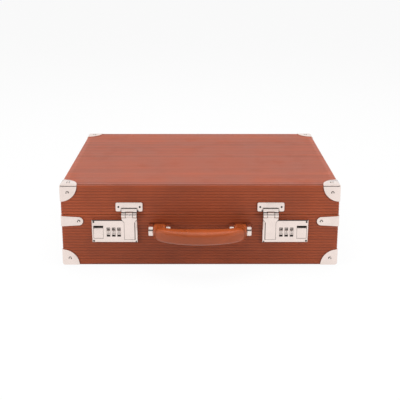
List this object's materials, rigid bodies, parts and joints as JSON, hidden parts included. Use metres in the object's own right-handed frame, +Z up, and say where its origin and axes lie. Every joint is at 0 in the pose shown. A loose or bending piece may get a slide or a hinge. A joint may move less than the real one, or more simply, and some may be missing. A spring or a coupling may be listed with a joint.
{
  "type": "watch briefcase",
  "caption": "Leather-covered briefcase with metal corners, combination locks with hasps, a folding handle, and a padded tray of watch cells under a hinged lid.",
  "frame": {"origin": "in the plane that the four lower corner protectors rest on, under the middle of the box of the whole object, its handle included", "axes": "+X along the case's width to the right as seen from the front, -Y out of the front face with the handle, +Z up"},
  "size_m": [0.4342, 0.3763, 0.1343],
  "materials": {
    "leather": "ribbed, waxed",
    "nickel": "polished nickel",
    "steel": "satin",
    "board": "plain",
    "suede": "brushed suede",
    "cushion": "brushed suede"
  },
  "bodies": {
    "base": {"base_shell": "board", "base_cover": "leather", "base_lining": "suede", "base_rim": "board", "corner_base_front_left": "nickel", "corner_base_front_right": "nickel", "corner_base_back_left": "nickel", "corner_base_back_right": "nickel", "side_clip_left": "nickel", "side_clip_right": "nickel", "base_fasteners": "steel", "lock_plate_left": "nickel", "lock_plate_right": "nickel", "lock_case_left": "steel", "lock_case_right": "steel", "dial_shafts": "steel", "slider_spring_left": "steel", "slider_spring_right": "steel", "handle_bracket_left": "nickel", "handle_bracket_right": "nickel", "handle_pins": "steel", "tray_floor": "board", "long_dividers": "suede", "cross_dividers": "suede", "cushions_front": "cushion", "cushions_middle": "cushion", "cushions_back": "cushion", "hinge_leaf_base": "nickel", "hinge_pin": "steel", "stay_keepers": "steel"},
    "lid": {"lid_shell": "board", "lid_cover": "leather", "lid_lining": "suede", "lid_pad": "cushion", "corner_lid_front_left": "nickel", "corner_lid_front_right": "nickel", "corner_lid_back_left": "nickel", "corner_lid_back_right": "nickel", "lid_fasteners": "steel", "hasp_plate_left": "nickel", "hasp_plate_right": "nickel", "hasp_pins": "steel", "hinge_leaf_lid": "nickel", "stay_pivots": "steel"},
    "hasp_left": {"hasp_left": "nickel"},
    "slider_left": {"slider_left": "nickel"},
    "stay_left": {"stay_left": "steel"},
    "dial_left_1": {"dial_left_1": "nickel"},
    "dial_left_2": {"dial_left_2": "nickel"},
    "dial_left_3": {"dial_left_3": "nickel"},
    "hasp_right": {"hasp_right": "nickel"},
    "slider_right": {"slider_right": "nickel"},
    "stay_right": {"stay_right": "steel"},
    "dial_right_1": {"dial_right_1": "nickel"},
    "dial_right_2": {"dial_right_2": "nickel"},
    "dial_right_3": {"dial_right_3": "nickel"},
    "handle": {"handle_grip": "leather", "handle_core": "steel"}
  },
  "joints": [
    {"name": "lid_hinge", "type": "hinge", "parent": "base", "child": "lid", "pos_m": [0, 0.18545, 0.0847], "axis": [-1, 0, 0], "range_deg": [0, 95]},
    {"name": "hasp_left_hinge", "type": "hinge", "parent": "lid", "child": "hasp_left", "pos_m": [-0.1092, -0.14185, 0.0856], "axis": [-1, 0, 0], "range_deg": [0, 110]},
    {"name": "slider_left_slide", "type": "slide", "parent": "base", "child": "slider_left", "axis": [0, 0, 1], "range_m": [0, 0.0035], "stiffness_N_per_m": 300, "springref_m": -0.004, "deforming": ["slider_spring_left"]},
    {"name": "stay_left_pivot", "type": "hinge", "parent": "lid", "child": "stay_left", "pos_m": [-0.2003, 0.14437, 0.09343], "axis": [-1, 0, 0], "range_deg": [-47.5, 0]},
    {"name": "dial_left_1_turn", "type": "hinge", "parent": "base", "child": "dial_left_1", "pos_m": [-0.1336, -0.13375, 0.0575], "axis": [1, 0, 0], "continuous": true},
    {"name": "dial_left_2_turn", "type": "hinge", "parent": "base", "child": "dial_left_2", "pos_m": [-0.1336, -0.13375, 0.0575], "axis": [1, 0, 0], "continuous": true},
    {"name": "dial_left_3_turn", "type": "hinge", "parent": "base", "child": "dial_left_3", "pos_m": [-0.1336, -0.13375, 0.0575], "axis": [1, 0, 0], "continuous": true},
    {"name": "hasp_right_hinge", "type": "hinge", "parent": "lid", "child": "hasp_right", "pos_m": [0.1092, -0.14185, 0.0856], "axis": [-1, 0, 0], "range_deg": [0, 110]},
    {"name": "slider_right_slide", "type": "slide", "parent": "base", "child": "slider_right", "axis": [0, 0, 1], "range_m": [0, 0.0035], "stiffness_N_per_m": 300, "springref_m": -0.004, "deforming": ["slider_spring_right"]},
    {"name": "stay_right_pivot", "type": "hinge", "parent": "lid", "child": "stay_right", "pos_m": [0.2003, 0.14437, 0.09343], "axis": [-1, 0, 0], "range_deg": [-47.5, 0]},
    {"name": "dial_right_1_turn", "type": "hinge", "parent": "base", "child": "dial_right_1", "pos_m": [0.1336, -0.13375, 0.0575], "axis": [1, 0, 0], "continuous": true},
    {"name": "dial_right_2_turn", "type": "hinge", "parent": "base", "child": "dial_right_2", "pos_m": [0.1336, -0.13375, 0.0575], "axis": [1, 0, 0], "continuous": true},
    {"name": "dial_right_3_turn", "type": "hinge", "parent": "base", "child": "dial_right_3", "pos_m": [0.1336, -0.13375, 0.0575], "axis": [1, 0, 0], "continuous": true},
    {"name": "handle_pivot", "type": "hinge", "parent": "base", "child": "handle", "pos_m": [0, -0.14875, 0.0627], "axis": [-1, 0, 0], "range_deg": [-90, 90]}
  ],
  "couplings": [
    {"joint": "stay_left_pivot", "follows": "lid_hinge", "ratio": -0.5},
    {"joint": "stay_right_pivot", "follows": "lid_hinge", "ratio": -0.5}
  ]
}
